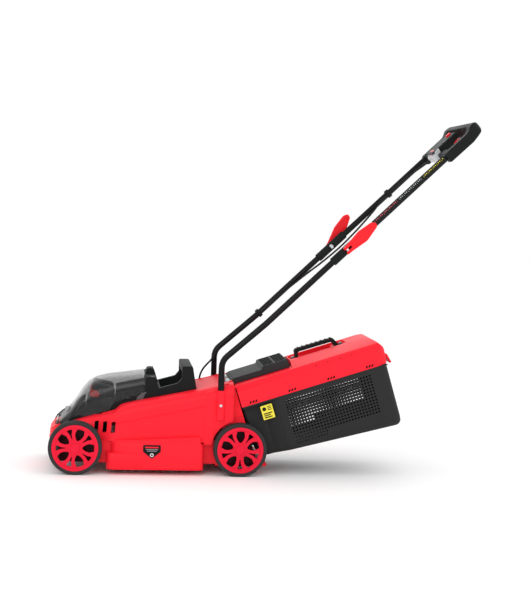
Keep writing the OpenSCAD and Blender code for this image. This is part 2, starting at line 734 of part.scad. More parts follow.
// ---------- rear flap ----------
module rear_flap() {
    color(black) place() slope_frame() difference() {
        union() {
            across(rounded([[-8, 67, 3], [-8, 80, 6], [4, 84, 4], [92, 84, 2], [98, 93, 3], [176, 93, 4], [178, 67, 2]]),
                   -flap_w, flap_w);
            both_sides() translate([flap_pin_u, 0, flap_pin_v]) rod(6.5, 24, flap_w);
            both_sides() across([[flap_pin_u, 62], [0, 67], [0, 74], [flap_pin_u, 74]], 24, flap_w);
        }
        across([[-9, 60], [-9, 76], [6, 80], [90, 80], [90, 60]], -24, 24);
        across([[6, 60], [6, 80], [170, 80], [170, 60]], -flap_w + 4, flap_w - 4);
        translate([flap_pin_u, 0, flap_pin_v]) rod(flap_pin_r + fit, -flap_w - 5, flap_w + 5);
    }
}

module flap_pin() {
    color(steel) place() slope_frame() translate([flap_pin_u, 0, flap_pin_v]) rod(flap_pin_r, -112, 112);
}

module flap_spring() {
    turns = 6;
    coil = [for (i = [0 : turns * 12]) [4.7 * cos(30 * i), -18 + 36 * i / (turns * 12), 4.7 * sin(30 * i)]];
    n = len(coil) - 1;
    color(steel) place() slope_frame() translate([flap_pin_u, 0, flap_pin_v])
        loft([for (i = [0 : n]) let (d = unit(coil[min(i + 1, n)] - coil[max(i - 1, 0)]),
                                     s = unit([coil[i][0], 0, coil[i][2]]), w = cross(s, d))
              [for (k = [0 : 5]) coil[i] + 1 * (cos(60 * k) * s + sin(60 * k) * w)]]);
}

// ---------- grass catcher ----------
module lid_block(t) {
    intersection() {
        across(rounded([[t, -t, 0], [t, lid_low - t, 4], [181 + t, lid_low - t, 3], [187 + t, lid_high - t, 6],
                        [404 - t, lid_high - t, 60], [446 - t, 75 - t, 26], [466 - t, 46, 24],
                        [catcher_len + 2 - t, 10, 4], [catcher_len - t, -t, 0]]), -200, 200);
        rotate([90, 0, 90]) linear_extrude(500)
            polygon(rounded([[-catcher_w / 2 + t, -t, 0], [-164 + t, 46, 10], [-144, 65 - t, 16],
                             [-66, lid_high - 3 - t, 60], [66, lid_high - 3 - t, 60], [144, 65 - t, 16],
                             [164 - t, 46, 10], [catcher_w / 2 - t, -t, 0]]));
        translate([0, 0, -5]) linear_extrude(110)
            polygon(rounded([[0, -170, 0], [470 - t, -catcher_w / 2 + t, 48], [470 - t, catcher_w / 2 - t, 48],
                             [0, 170, 0]], 6));
    }
}

module catcher_lid() {
    color(red) place() slope_frame() difference() {
        union() {
            difference() {
                lid_block(0);
                translate([-1, 0, 0]) lid_block(3);
                translate([-5, -106, -2]) cube([12, 212, 60]);
            }
            intersection() {
                lid_block(0);
                translate([184, -56, 66]) cube([194, 112, 40]);
            }
            both_sides() translate([-14, 113, 60]) cube([20, 36, 5.5]);
            across(rounded([[455, 22, 0], [470, 19, 3], [484, 10, 4], [491, -19, 1], [484, -19, 1], [478, 5, 3],
                            [455, 10, 0]]), -42, 42);
        }
        translate([0, 0, 76]) linear_extrude(60)
            polygon(rounded([[190, -50, 20], [372, -50, 20], [372, 50, 20], [190, 50, 20]]));
        translate([0, 0, 70]) linear_extrude(60)
            polygon(rounded([[224, -46, 12], [328, -46, 12], [328, 46, 12], [224, 46, 12]]));
        for (u = [38, 160, 283, 405]) for (k = [-9, 0, 9]) both_sides()
            across([[u + k - 5, 4], [u + k + 1, 4], [u + k + 5, 11], [u + k - 1, 11]], 156, 180);
        for (u = [250, 288, 327, 364]) both_sides() translate([u, 0, 55]) rod(1.6, 140, 180);
        for (u = [202, 357]) translate([u, 0, 58]) cylinder(r = 2.2, h = 32);
    }
}

// Room for a rear wheel beside the basket
module wheel_relief(t) {
    both_sides() translate([0, 0, -230]) linear_extrude(225 + t)
        polygon([[-20, 144 - t], [60, 144 - t], [118, 170 - t], [118, 220], [-20, 220]]);
}

module basket_block(t) {
    difference() {
        basket_hull(t);
        wheel_relief(t);
    }
}

module basket_hull(t) {
    intersection() {
        across(rounded([[t, 10, 0], [2 + t, -60, 10], [24 + t, -167 + t, 12], [456 - t, -195 + t, 26],
                        [catcher_len - 1 - t, 10, 0]]), -200, 200);
        rotate([90, 0, 90]) linear_extrude(500)
            polygon(rounded([[-catcher_w / 2 + 1 + t, 10, 0], [-160 + t, -197 + t, 22], [160 - t, -197 + t, 22],
                             [catcher_w / 2 - 1 - t, 10, 0]]));
    }
}

module catcher_basket() {
    color(dark_grey) place() slope_frame() difference() {
        basket_block(0);
        basket_block(3);
        translate([-20, -200, -0.4]) cube([600, 400, 60]);
        translate([-5, -136, -150]) cube([34, 272, 160]);
    }
}

module catcher_handle() {
    color(black) place() slope_frame() difference() {
        union() {
            across(rounded([[209, 76.3, 0], [212, 104, 9], [338, 104, 9], [352, 76.3, 0]]), -13, 13);
            translate([194, -9, 76.3]) cube([24, 18, 3]);
            translate([345, -9, 76.3]) cube([20, 18, 3]);
        }
        across(rounded([[219, 60, 0], [220, 93, 7], [331, 93, 7], [343, 60, 0]]), -20, 20);
        for (u = [202, 357]) translate([u, 0, 60]) cylinder(r = 2.2, h = 30);
    }
}

module catcher_feet() {
    color(mid_grey) place() slope_frame() for (u = [202, 357]) translate([u, 0, 0]) {
        translate([0, 0, 79.5]) cylinder(r1 = 6.5, r2 = 5, h = 3.5);
        translate([0, 0, 64]) cylinder(r = 2, h = 16);
    }
}

// ---------- upper handle ----------
module upper_tube() {
    color(black) place() {
        handle_frame() translate([lap, tube_y, 0]) rotate([0, 90, 0]) linear_extrude(380) tube_section();
        difference() {
            lap_half(-1, tube_r);
            pivot_hole();
        }
    }
}
module upper_tube_right() { upper_tube(); }
module upper_tube_left() { mirror([0, 1, 0]) upper_tube(); }

module tube_wrap() {
    color(dark_grey) place() handle_frame() translate([112, -tube_y, 0]) rotate([0, 90, 0]) difference() {
        cylinder(r = tube_r + 1, h = 292);
        translate([0, 0, -1]) cylinder(r = tube_r + 0.05, h = 300);
    }
}

module handle_loop() {
    color(black) place() handle_frame() difference() {
        intersection() {
            across(rounded([[408, -19, 4], [410, 12, 9], [505, 12, 30], [524, 23, 16], [548, 23, 16],
                            [handle_tip_t, 7, 16], [548, -13, 16], [500, -20, 30]], 6), -190, 190);
            translate([0, 0, -60]) linear_extrude(120) difference() {
                polygon(rounded([[400, -182, 0], [handle_tip_t, -182, 44], [handle_tip_t, 182, 44], [400, 182, 0]], 8));
                polygon(rounded([[390, -148, 0], [523, -148, 22], [523, 148, 22], [390, 148, 0]], 8));
            }
        }
        both_sides() translate([400, tube_y, 0]) rotate([0, 90, 0]) cylinder(r = tube_r + fit, h = 38);
        translate([trigger_t, 0, trigger_n]) rod(4 + fit, -154, 154);
    }
}

module switch_box() {
    color(black) place() handle_frame() difference() {
        union() {
            across(rounded([[414, -11, 5], [414, 10, 5], [440, 10, 5], [440, -11, 5]]), -147.7, 147.7);
            across(rounded([[404, -10, 8], [402, 10, 8], [420, 22, 8], [508, 22, 6], [506, 8, 4], [476, 2, 4],
                            [470, -16, 6], [420, -16, 8]]), -52, 52);
        }
        translate([490, 0, 12]) cylinder(r = 9.3, h = 20);
        translate([406, -44.4, 20]) cube([96.8, 88.8, 10]);
        translate([392, 60, 0]) rotate([0, 90, -41]) cylinder(r = cable_r + 1.3, h = 24);
    }
}

module switch_panel() {
    color([0.75, 0.76, 0.76]) place() handle_frame() difference() {
        translate([406.4, -44, 20.2]) cube([96, 88, 4]);
        translate([490, 0, 12]) cylinder(r = 9.3, h = 20);
    }
}

module lock_button() {
    color(red) place() handle_frame() translate([490, 0, 18]) cylinder(r = 8.9, h = 12);
}

module trigger_bar() {
    color(red) place() handle_frame() {
        translate([trigger_t, 0, trigger_n]) rod(4, -153, 153);
        both_sides() across(rounded([[476, -10, 1], [508, -3, 6], [518, -5, 4], [518, -14, 5], [500, -15, 6]]), 58, 134);
    }
}

deck_housing();
top_cover();
battery_left();
battery_right();
controller_box();
motor();
motor_screws();
front_axle();
rear_axle();
axle_nuts();
axle_brackets();
lower_tube_left();
lower_tube_right();
lower_sleeves();
socket_screws();
pivot_bolts();
lever_pins();
lower_cable();
lower_cable_clip();
cover_screws();
flap_pin();
flap_spring();
cover_hinge_pin();
rim_front_left();
tyre_front_left();
cap_front_left();
rim_front_right();
tyre_front_right();
cap_front_right();
rim_rear_left();
tyre_rear_left();
cap_rear_left();
rim_rear_right();
tyre_rear_right();
cap_rear_right();
blade_carrier();
blade();
blade_bolt();
battery_button_left();
battery_button_right();
rear_flap();
battery_cover();
cover_latch();
catcher_lid();
catcher_basket();
catcher_handle();
catcher_feet();
upper_tube_left();
upper_tube_right();
upper_sleeves();
tube_wrap();
handle_loop();
switch_box();
switch_panel();
upper_cable();
upper_cable_clip();
lever_left();
lever_right();
trigger_bar();
lock_button();
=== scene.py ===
"""Push lawn mower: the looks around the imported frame, in metres, in the frame's own axes."""

import json
from math import atan2, cos, pi, radians, sin, tan

import bmesh
import bpy
from mathutils import Matrix, Vector


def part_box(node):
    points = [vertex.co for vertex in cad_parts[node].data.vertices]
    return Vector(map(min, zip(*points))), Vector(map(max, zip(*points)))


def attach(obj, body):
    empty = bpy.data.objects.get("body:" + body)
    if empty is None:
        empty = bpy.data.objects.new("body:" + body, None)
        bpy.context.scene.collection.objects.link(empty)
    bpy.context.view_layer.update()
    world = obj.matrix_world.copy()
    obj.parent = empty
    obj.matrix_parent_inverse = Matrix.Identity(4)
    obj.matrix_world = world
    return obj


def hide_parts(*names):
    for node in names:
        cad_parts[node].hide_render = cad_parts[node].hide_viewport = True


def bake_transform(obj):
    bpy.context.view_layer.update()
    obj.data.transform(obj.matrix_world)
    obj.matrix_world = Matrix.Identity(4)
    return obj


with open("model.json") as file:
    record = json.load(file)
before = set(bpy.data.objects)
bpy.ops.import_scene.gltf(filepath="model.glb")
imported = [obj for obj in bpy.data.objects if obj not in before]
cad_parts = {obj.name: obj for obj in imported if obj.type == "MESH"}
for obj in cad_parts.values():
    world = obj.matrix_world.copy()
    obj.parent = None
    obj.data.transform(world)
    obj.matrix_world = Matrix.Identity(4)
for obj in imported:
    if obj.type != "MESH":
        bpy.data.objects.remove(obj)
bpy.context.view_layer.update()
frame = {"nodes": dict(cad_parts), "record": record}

MM = 0.001


def centre(node):
    """Middle of a CAD node's box."""
    low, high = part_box(node)
    return (low + high) / 2


# The shaping frame: X in millimetres back from the front hubs, Y across, Z up from the ground.
HUB = centre("front_axle")
WORLD = Matrix.Translation((HUB.x, 0, 0)) @ Matrix.Scale(MM, 4)
WHEELBASE = (centre("rear_axle").x - HUB.x) / MM
WHEEL_R = HUB.z / MM

# Catcher and flap: X up the slope, Z out of the lid.
SLOPE_FOOT = (496, 0, 206)
SLOPE_ANGLE = 18
SLOPE = WORLD @ Matrix.Translation(SLOPE_FOOT) @ Matrix.Rotation(radians(-SLOPE_ANGLE), 4, "Y")

# Handle: X along the tubes from the fold, Z towards the front.
FOLD = (797, 0, 689)
HANDLE_ANGLE = 44.1
HANDLE = WORLD @ Matrix.Translation(FOLD) @ Matrix.Rotation(radians(-HANDLE_ANGLE), 4, "Y")


# ---------- camera, floor and light ----------
def add_camera():
    """Low three-quarter view, almost square to the left side, rolled a little."""
    azimuth, elevation, roll = radians(-5.894), radians(3.5), radians(1.703)
    back = Vector((sin(azimuth) * cos(elevation), -cos(azimuth) * cos(elevation), sin(elevation)))
    right = Vector((cos(azimuth), sin(azimuth), 0))
    up = right.cross(-back)
    turned_right = cos(roll) * right + sin(roll) * up
    turned_up = cos(roll) * up - sin(roll) * right
    data = bpy.data.cameras.new("camera")
    data.lens = 94.98
    data.clip_end = 50
    camera = bpy.data.objects.new("camera", data)
    turn = Matrix((turned_right, turned_up, back)).transposed().to_4x4()
    camera.matrix_world = Matrix.Translation(WORLD @ Vector((70.779, -4872.522, 820.83))) @ turn
    bpy.context.collection.objects.link(camera)
    bpy.context.scene.camera = camera


def area_light(name, place, target, size, power):
    """Rectangular light at a place in metres, aimed at a target."""
    data = bpy.data.lights.new(name, "AREA")
    data.shape = "RECTANGLE"
    data.size, data.size_y = size
    data.energy = power
    light = bpy.data.objects.new(name, data)
    light.location = place
    light.rotation_euler = (Vector(target) - Vector(place)).to_track_quat("-Z", "Y").to_euler()
    bpy.context.collection.objects.link(light)


def add_stage():
    """Pale floor, white surroundings and large soft lights."""
    world = bpy.data.worlds.new("studio")
    world.use_nodes = True
    background = world.node_tree.nodes["Background"]
    background.inputs["Color"].default_value = (1, 1, 1, 1)
    background.inputs["Strength"].default_value = 1.0
    bpy.context.scene.world = world
    bpy.context.scene.view_settings.view_transform = "Standard"
    bpy.ops.mesh.primitive_plane_add(size=60, location=(0, 0, 0))
    floor = bpy.context.object
    floor.name = "floor"
    paint = bpy.data.materials.new("floor_paint")
    paint.use_nodes = True
    shader = paint.node_tree.nodes["Principled BSDF"]
    shader.inputs["Base Color"].default_value = (1, 1, 1, 1)
    shader.inputs["Roughness"].default_value = 0.85
    shader.inputs["Specular IOR Level"].default_value = 0.1
    floor.data.materials.append(paint)
    area_light("key", (-1.3, -3.0, 1.6), (0, 0, 0.3), (2.2, 1.4), 22)
    area_light("fill", (2.2, -2.4, 1.5), (0.1, 0, 0.4), (1.6, 1.8), 8)
    area_light("rim", (0.6, 2.6, 2.0), (0, 0, 0.5), (2.4, 1.0), 9)


# ---------- materials ----------
def plastic(name, colour, roughness=0.4, grain=0.0, grain_size=900, mottle=0.06, metallic=0.0, shine=0.3):
    """Moulded or painted surface: slight mottling in colour and gloss, and an optional fine grain."""
    paint = bpy.data.materials.new(name)
    paint.use_nodes = True
    nodes, links = paint.node_tree.nodes, paint.node_tree.links
    shader = nodes["Principled BSDF"]
    place = nodes.new("ShaderNodeTexCoord")
    cloud = nodes.new("ShaderNodeTexNoise")
    cloud.inputs["Scale"].default_value = 9
    cloud.inputs["Detail"].default_value = 4
    links.new(place.outputs["Object"], cloud.inputs["Vector"])
    tint = nodes.new("ShaderNodeValToRGB")
    tint.color_ramp.elements[0].position = 0.3
    tint.color_ramp.elements[1].position = 0.7
    tint.color_ramp.elements[0].color = (*[c * (1 - mottle) for c in colour], 1)
    tint.color_ramp.elements[1].color = (*[min(1, c * (1 + mottle)) for c in colour], 1)
    links.new(cloud.outputs["Fac"], tint.inputs["Fac"])
    links.new(tint.outputs["Color"], shader.inputs["Base Color"])
    gloss = nodes.new("ShaderNodeMapRange")
    gloss.inputs["To Min"].default_value = roughness * 0.85
    gloss.inputs["To Max"].default_value = min(1, roughness * 1.15)
    links.new(cloud.outputs["Fac"], gloss.inputs["Value"])
    links.new(gloss.outputs["Result"], shader.inputs["Roughness"])
    shader.inputs["Metallic"].default_value = metallic
    shader.inputs["Specular IOR Level"].default_value = shine
    if grain:
        sand = nodes.new("ShaderNodeTexNoise")
        sand.inputs["Scale"].default_value = grain_size
        sand.inputs["Detail"].default_value = 2
        links.new(place.outputs["Object"], sand.inputs["Vector"])
        bump = nodes.new("ShaderNodeBump")
        bump.inputs["Strength"].default_value = grain
        bump.inputs["Distance"].default_value = 0.0004
        links.new(sand.outputs["Fac"], bump.inputs["Height"])
        links.new(bump.outputs["Normal"], shader.inputs["Normal"])
    return paint


def smoked_clear(name):
    """Clear moulding, lightly smoked."""
    paint = plastic(name, (0.02, 0.021, 0.022), 0.08, mottle=0.03)
    shader = paint.node_tree.nodes["Principled BSDF"]
    shader.inputs["Alpha"].default_value = 0.34
    shader.inputs["Specular IOR Level"].default_value = 0.55
    return paint


RED = plastic("deck_red", (0.9, 0.012, 0.028), 0.42, grain=0.06, shine=0.16)
RIM_RED = plastic("rim_red", (0.76, 0.008, 0.036), 0.45, grain=0.05, shine=0.14)
ACCENT_RED = plastic("accent_red", (0.84, 0.012, 0.02), 0.34, grain=0.04, shine=0.2)
DARK_RED = plastic("dark_red", (0.3, 0.006, 0.012), 0.4, shine=0.12)
BLACK = plastic("black_plastic", (0.01, 0.0115, 0.0115), 0.55, grain=0.12, shine=0.09)
SOFT_BLACK = plastic("soft_black", (0.012, 0.0125, 0.013), 0.6, grain=0.25, shine=0.12)
SLATE = plastic("slate_plastic", (0.028, 0.03, 0.031), 0.55, grain=0.15, shine=0.12)
TYRE = plastic("tyre_rubber", (0.034, 0.034, 0.034), 0.75, grain=0.3, grain_size=500, shine=0.12)
TUBE = plastic("tube_paint", (0.003, 0.003, 0.0035), 0.2, mottle=0.03, shine=0.16)
BASKET = plastic("basket_plastic", (0.021, 0.021, 0.0215), 0.5, grain=0.15, shine=0.14)
GREY = plastic("grey_plastic", (0.3, 0.31, 0.32), 0.45, grain=0.1)
PALE_GREY = plastic("pale_grey", (0.5, 0.52, 0.53), 0.4, grain=0.05)
STEEL = plastic("steel", (0.6, 0.61, 0.63), 0.28, mottle=0.08, metallic=1.0)
IRON = plastic("motor_iron", (0.07, 0.07, 0.075), 0.5, grain=0.3, metallic=0.6)
HOOD = smoked_clear("smoked_clear")
# Pale grey of the painted sheen patches on the black cover's sides.
DIM_GREY = plastic("dim_grey", (0.09, 0.09, 0.09), 0.4, shine=0.2)
YELLOW = plastic("label_yellow", (0.78, 0.66, 0.05), 0.45)
WHITE = plastic("white_print", (0.8, 0.8, 0.8), 0.45)
PINK = plastic("red_print", (0.7, 0.12, 0.14), 0.45)


# ---------- shared shaping ----------
def soften(node, paint, width=1.2, angle=32):
    """A CAD piece shown as it is, with its edges broken and its own material."""
    piece = frame["nodes"][node]
    mesh = piece.data
    if "custom_normal" in mesh.attributes:
        mesh.attributes.remove(mesh.attributes["custom_normal"])
    mesh.polygons.foreach_set("use_smooth", [True] * len(mesh.polygons))
    mesh.materials.clear()
    mesh.materials.append(paint)
    weld = piece.modifiers.new("weld", "WELD")
    weld.merge_threshold = 2e-6
    flat = piece.modifiers.new("flat", "DECIMATE")
    flat.decimate_type = "DISSOLVE"
    flat.angle_limit = radians(0.6)
    bevel(piece, width, angle=angle)


def rounded(corners, steps=5):
    """Closed outline through corners, each (x, y, radius)."""
    out = []
    count = len(corners)
    for i, (x, y, radius) in enumerate(corners):
        here = Vector((x, y))
        if radius <= 0:
            out.append(here)
            continue
        a = (Vector(corners[i - 1][:2]) - here).normalized()
        b = (Vector(corners[(i + 1) % count][:2]) - here).normalized()
        half = a.angle(b) / 2
        middle = here + (a + b).normalized() * radius / sin(half)
        start = here + a * radius / tan(half) - middle
        end = here + b * radius / tan(half) - middle
        first = atan2(start.y, start.x)
        turn = (atan2(end.y, end.x) - first + 3 * pi) % (2 * pi) - pi
        for k in range(steps + 1):
            angle = first + turn * k / steps
            out.append(middle + radius * Vector((cos(angle), sin(angle))))
    return [tuple(p) for p in out]


def circle(x, y, radius, count):
    """Closed outline of a circle."""
    return [(x + radius * cos(2 * pi * k / count), y + radius * sin(2 * pi * k / count)) for k in range(count)]


def lookup(x, table):
    """Straight-line value at x in a table of (x, value)."""
    if x <= table[0][0]:
        return table[0][1]
    for (x0, v0), (x1, v1) in zip(table, table[1:]):
        if x <= x1:
            return v0 + (v1 - v0) * (x - x0) / (x1 - x0)
    return table[-1][1]


def make(name, points, faces, paint, body, place=WORLD, smooth=38):
    """Mesh piece from points in a millimetre frame, riding on a body."""
    mesh = bpy.data.meshes.new(name)
    mesh.from_pydata([place @ Vector(p) for p in points], [], faces)
    work = bmesh.new()
    work.from_mesh(mesh)
    bmesh.ops.remove_doubles(work, verts=work.verts, dist=1e-6)
    bmesh.ops.recalc_face_normals(work, faces=work.faces)
    work.to_mesh(mesh)
    work.free()
    mesh.polygons.foreach_set("use_smooth", [True] * len(mesh.polygons))
    mesh.set_sharp_from_angle(angle=radians(smooth))
    mesh.materials.append(paint)
    piece = bpy.data.objects.new(name, mesh)
    bpy.context.collection.objects.link(piece)
    if body:
        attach(piece, body)
    return piece


def bevel(piece, width, segments=2, angle=35):
    """Breaks a piece's edges, in millimetres."""
    edge = piece.modifiers.new("bevel", "BEVEL")
    edge.width = width * MM
    edge.segments = segments
    edge.limit_method = "ANGLE"
    edge.angle_limit = radians(angle)
    edge.harden_normals = True
    return piece


def prism(name, outline, y0, y1, paint, body, place=WORLD, edge=0.0, smooth=38):
    """Outline in X and Z pushed along Y."""
    points, faces = slab(outline, y0, y1)
    piece = make(name, points, faces, paint, body, place, smooth)
    return bevel(piece, edge) if edge else piece


def skin(name, rings, paint, body, place=WORLD, caps=True, smooth=38):
    """Surface through closed rings of equal length."""
    count = len(rings[0])
    points = [p for ring in rings for p in ring]
    faces = []
    for k in range(len(rings) - 1):
        for i in range(count):
            j = (i + 1) % count
            faces.append((k * count + i, k * count + j, (k + 1) * count + j, (k + 1) * count + i))
    if caps:
        last = (len(rings) - 1) * count
        faces += [tuple(range(count)), tuple(last + i for i in range(count - 1, -1, -1))]
    return make(name, points, faces, paint, body, place, smooth)


def turned(name, profile, paint, body, place, sides=120, smooth=38):
    """Closed profile of (radius, height) turned round Z."""
    rings = []
    for k in range(sides):
        c, s = cos(2 * pi * k / sides), sin(2 * pi * k / sides)
        rings.append([(r * c, r * s, h) for r, h in profile])
    rings.append(rings[0])
    return skin(name, rings, paint, body, place, caps=False, smooth=smooth)


def joined(name, parts, paint, body, place=WORLD, smooth=38):
    """One piece from several (points, faces) solids."""
    points, faces = [], []
    for some, those in parts:
        base = len(points)
        points += some
        faces += [tuple(base + i for i in face) for face in those]
    return make(name, points, faces, paint, body, place, smooth)


# Faces of a box whose eight corners run X first, then Y, then Z.
BOX_FACES = [(0, 1, 3, 2), (4, 6, 7, 5), (0, 4, 5, 1), (2, 3, 7, 6), (0, 2, 6, 4), (1, 5, 7, 3)]


def block(low, high):
    """Solid of a box, for joined()."""
    points = [(x, y, z) for x in (low[0], high[0]) for y in (low[1], high[1]) for z in (low[2], high[2])]
    return points, BOX_FACES


def slab(outline, low, high):
    """Solid of an outline in X and Z pushed along Y, for joined()."""
    count = len(outline)
    points = [(x, y, z) for y in (low, high) for x, z in outline]
    faces = [tuple(range(count)), tuple(range(2 * count - 1, count - 1, -1))]
    faces += [(i, (i + 1) % count, count + (i + 1) % count, count + i) for i in range(count)]
    return points, faces


def swept(name, route, radius, paint, body, place=WORLD, sides=12, steps=6):
    """Round cord along a smooth curve through the route's points."""
    route = [Vector(p) for p in route]
    line = []
    for i in range(len(route) - 1):
        a, b, c, d = route[max(i - 1, 0)], route[i], route[i + 1], route[min(i + 2, len(route) - 1)]
        for k in range(steps):
            u = k / steps
            line.append(0.5 * (2 * b + (c - a) * u + (2 * a - 5 * b + 4 * c - d) * u ** 2
                               + (3 * b - a - 3 * c + d) * u ** 3))
    line.append(route[-1])
    rings = []
    side = Vector((0, 1, 0))
    for i, p in enumerate(line):
        ahead = (line[min(i + 1, len(line) - 1)] - line[max(i - 1, 0)]).normalized()
        across = (side - ahead * side.dot(ahead)).normalized()
        side = across
        over = ahead.cross(across)
        rings.append([tuple(p + radius * (cos(2 * pi * k / sides) * across + sin(2 * pi * k / sides) * over))
                      for k in range(sides)])
    return skin(name, rings, paint, body, place, smooth=80)


def carve(piece, cutters, place=SLOPE):
    """Cuts the cutters out of a piece for good."""
    tool = joined("cutter", cutters, BLACK, "deck", place)
    cut = piece.modifiers.new("cut", "BOOLEAN")
    cut.object = tool
    cut.solver = "EXACT"
    cut.operation = "DIFFERENCE"
    bpy.context.view_layer.update()
    shape = bpy.data.meshes.new_from_object(piece.evaluated_get(bpy.context.evaluated_depsgraph_get()))
    piece.modifiers.clear()
    piece.data = shape
    bpy.data.objects.remove(tool)
    shape.polygons.foreach_set("use_smooth", [True] * len(shape.polygons))
    shape.set_sharp_from_angle(angle=radians(30))


# ---------- deck skin ----------
RAIL = [(-78, 118), (-62, 134), (18, 160), (114, 187), (138, 206), (182, 216), (352, 251), (396, 261),
        (440, 272), (470, 277)]
GROOVE = [(-78, 90), (112, 151), (119, 153), (385, 210), (470, 228)]


def deck_skin():
    """Rail band and rounded shoulder, swept round the nose from one side of the deck to the other."""
    plan = [(470, -168.6, 0), (412, -168.6, 0), (409, -168.6, 0), (112, -168.6, 40), (92, -160.6, 40),
            (62, -148.8, 40), (-44, -142.6, 30), (-62, -134.6, 14), (-72.6, -122, 14), (-78.6, -92, 30)]
    plan += [(x, -y, r) for x, y, r in reversed(plan)]
    line = [Vector(p) for p in rounded(plan, 5)]
    fine = []
    for a, b in zip(line, line[1:]):
        pieces = max(1, int((b - a).length / 14))
        fine += [a.lerp(b, k / pieces) for k in range(pieces)]
    fine.append(line[-1])
    rings = []
    for i, p in enumerate(fine):
        ahead = (fine[min(i + 1, len(fine) - 1)] - fine[max(i - 1, 0)]).normalized()
        out = Vector((ahead.y, -ahead.x))
        if out.dot(Vector((p.x - 200, p.y * 3))) < 0:
            out = -out
        rail, groove = lookup(p.x, RAIL), lookup(p.x, GROOVE)
        proud = 2.2 * min(1, max(0, (p.x - 100) / 25))
        inner = min(50, abs(p.y) - 60) if p.x > -60 else 30
        section = [(-2, 104), (0, 104), (0, groove - 2), (proud, groove), (proud, rail - 26),
                   (proud * 0.5, rail - 19), (-4, rail - 11), (-10, rail - 5.5), (-20, rail - 1), (-36, rail + 1),
                   (-inner, rail + 1.2), (-inner, rail - 3), (-36, rail - 3)]
        floor = 98 if p.x < 411 else rail - 36
        rings.append([(p.x + o * out.x, p.y + o * out.y, max(z, floor)) for o, z in section])
    piece = skin("deck_rail", rings, red_with_painted_well_shade(), "deck", smooth=30)
    slots = []
    for x in (62, 87, 112):
        slot = [(x - 7, 123), (x + 5, 125), (x + 7, 158), (x - 5, 156)]
        slots += [slab(slot, -200, -110), slab(slot, 110, 200)]
    carve(piece, slots, WORLD)


def red_with_painted_well_shade():
    """Deck red with painted shade in the wheel wells: dark near the hubs, where nothing but the wheels' backs can
    be seen.
    """
    if "deck_red_painted_well_shade" in bpy.data.materials:
        return bpy.data.materials["deck_red_painted_well_shade"]
    paint = RED.copy()
    paint.name = "deck_red_painted_well_shade"
    nodes, links = paint.node_tree.nodes, paint.node_tree.links
    shader = nodes["Principled BSDF"]
    base = shader.inputs["Base Color"].links[0].from_socket
    place = nodes.new("ShaderNodeTexCoord")
    for x in (0, WHEELBASE):
        flat = nodes.new("ShaderNodeVectorMath")
        flat.operation = "MULTIPLY"
        flat.inputs[1].default_value = (1, 0, 1)
        links.new(place.outputs["Object"], flat.inputs[0])
        reach = nodes.new("ShaderNodeVectorMath")
        reach.operation = "DISTANCE"
        hub = WORLD @ Vector((x, 0, WHEEL_R))
        reach.inputs[1].default_value = (hub.x, 0, hub.z)
        links.new(flat.outputs["Vector"], reach.inputs[0])
        # Painted shade: near black within 64 mm of each hub, fading to full deck red by 74 mm.
        shade_mask = nodes.new("ShaderNodeMapRange")
        shade_mask.inputs["From Min"].default_value = 0.064
        shade_mask.inputs["From Max"].default_value = 0.074
        links.new(reach.outputs["Value"], shade_mask.inputs["Value"])
        blend = nodes.new("ShaderNodeMix")
        blend.data_type = "RGBA"
        blend.inputs["A"].default_value = (0.03, 0.002, 0.004, 1)
        links.new(shade_mask.outputs["Result"], blend.inputs["Factor"])
        links.new(base, blend.inputs["B"])
        base = blend.outputs["Result"]
    links.new(base, shader.inputs["Base Color"])
    return paint


# Half width of the blade chamber's drum along X.
DRUM = [(105, 158.8), (112, 168.8), (124, 174.8), (144, 180.3), (169, 184.3), (199, 186.2), (225, 186.8),
        (383, 186.8)]


def corner_round(x, first, front, last, back):
    """Loss of half width where an outline turns its corners at the stations first and last."""
    a, b = max(0.0, front - (x - first)), max(0.0, back - (last - x))
    return front - (front ** 2 - a ** 2) ** 0.5 + back - (back ** 2 - b ** 2) ** 0.5


def skirt_skins():
    """Low plate round the blade skirt and, standing out of it, the drum of the blade chamber."""
    plate_x = [93, 93.6, 95, 98, 102, 108, 115, 130, 180, 260, 340, 362, 369, 374, 378, 381, 382.4]
    drum_x = [106, 109, 113, 118, 125, 135, 145, 157, 170, 185, 200, 225, 270, 320, 355, 364, 368, 371, 374, 378,
              381, 382.8]
    ledge = [(106, 96), (114, 103), (140, 105.5), (366, 117), (371, 112), (374, 97), (382, 93)]
    for side, word in ((-1, "left"), (1, "right")):
        rings = []
        for x in plate_x:
            half = 186.3 - corner_round(x, 92.8, 20, 382.8, 14)
            section = [(146, 17.2), (half - 2.5, 16.8), (half, 19.5), (half, 61.5), (half - 1.3, 64.8),
                       (half - 4, 66.2), (half - 9, 66.6), (146, 68)]
            rings.append([(x, side * y, z) for y, z in section])
        skin("deck_plate_" + word, rings, RED, "deck", smooth=50)
        rings = []
        for x in drum_x:
            half = lookup(x, DRUM) - corner_round(x, 0, 0.1, 383, 14)
            top = lookup(x, ledge)
            face = min(top - 13, lookup(x, [(106, 80), (125, 91), (360, 89), (371, 87), (383, 86)]))
            inner = min(167, half - 6)
            section = [(146, 24), (half, 24), (half, face), (half - 0.8, face + 3), (half - 2.6, face + 5.6),
                       (0.55 * half + 0.45 * inner - 1.5, 0.45 * face + 0.55 * top), (inner, top - 1),
                       (inner - 4, top), (146, top + 0.5)]
            rings.append([(x, side * y, z) for y, z in section])
        skin("deck_drum_" + word, rings, RED, "deck", smooth=50)


def rib(a, b, width, y0, y1):
    """Solid bar between two points (x, z) on a side face, for joined()."""
    along = (Vector(b) - Vector(a)).normalized() * width / 2
    over = Vector((-along.y, along.x))
    outline = [Vector(a) + over, Vector(b) + over, Vector(b) - over, Vector(a) - over]
    return slab([tuple(p) for p in outline], y0, y1)


